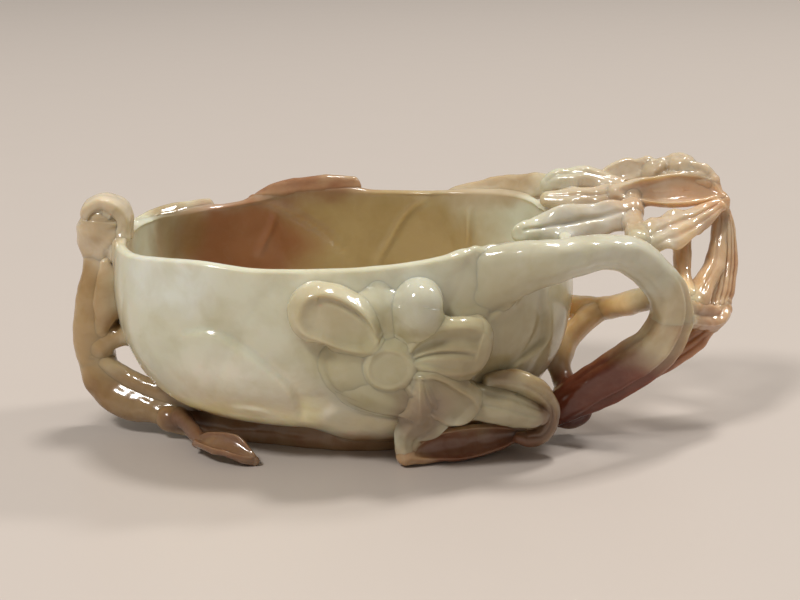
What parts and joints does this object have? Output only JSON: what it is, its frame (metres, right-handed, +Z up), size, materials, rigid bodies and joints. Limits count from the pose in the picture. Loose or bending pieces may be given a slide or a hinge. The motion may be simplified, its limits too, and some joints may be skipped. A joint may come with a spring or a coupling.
{
  "type": "carved stone libation cup",
  "caption": "Oval petal-shaped drinking cup carved in stone, held in openwork branches, with a relief blossom on its front, a bud stem at one end and a branch handle with leaves at the other.",
  "frame": {"origin": "under the middle of the cup's bounding box, on the plane that its feet stand on", "axes": "+X along the cup towards the branch handle, +Y away from the blossom in relief, +Z up through the open bowl"},
  "size_m": [0.165, 0.0966, 0.0657],
  "materials": {
    "white_nephrite": "hand polished, slightly waxy, translucent greenish white",
    "honey_nephrite": "hand polished, slightly waxy, translucent honey brown",
    "russet_nephrite": "hand polished, slightly waxy, russet brown of the pebble's skin"
  },
  "bodies": {
    "root": {"bowl": "white_nephrite", "rear_lip": "russet_nephrite", "rear_left_lip": "honey_nephrite", "blossom_centre": "white_nephrite", "blossom_petal_top": "white_nephrite", "blossom_petal_upper": "white_nephrite", "blossom_petal_upper_left": "honey_nephrite", "blossom_petal_left": "white_nephrite", "blossom_petal_lower": "white_nephrite", "blossom_petal_lower_right": "white_nephrite", "blossom_petal_right": "white_nephrite", "handle_branch_upper": "white_nephrite", "handle_branch_lower": "russet_nephrite", "rear_limb_upper": "honey_nephrite", "rear_limb_lower": "honey_nephrite", "right_knot": "russet_nephrite", "right_limb": "honey_nephrite", "right_leaf": "russet_nephrite", "right_twig": "honey_nephrite", "lower_right_leaf": "russet_nephrite", "small_curled_leaf": "russet_nephrite", "shell_leaf": "honey_nephrite", "hanging_leaf": "honey_nephrite", "middle_column": "honey_nephrite", "top_bud_large": "white_nephrite", "top_bud_small": "white_nephrite", "upper_leaf": "white_nephrite", "rim_leaf_over": "white_nephrite", "rim_leaf_under": "honey_nephrite", "rim_leaf_back": "honey_nephrite", "rim_leaf_inner": "white_nephrite", "left_bud": "honey_nephrite", "left_bud_cap": "white_nephrite", "left_stem_upper": "honey_nephrite", "left_stem_bud": "honey_nephrite", "left_bridge": "honey_nephrite", "left_stem_lower": "honey_nephrite", "left_stem_strand": "honey_nephrite", "left_foot_stalk": "russet_nephrite", "left_foot_leaf": "russet_nephrite", "front_stem": "white_nephrite", "sepal": "russet_nephrite", "front_foot_leaf": "white_nephrite", "front_foot_edge": "russet_nephrite", "base_branch": "russet_nephrite", "rear_foot_leaf": "russet_nephrite"}
  },
  "joints": []
}
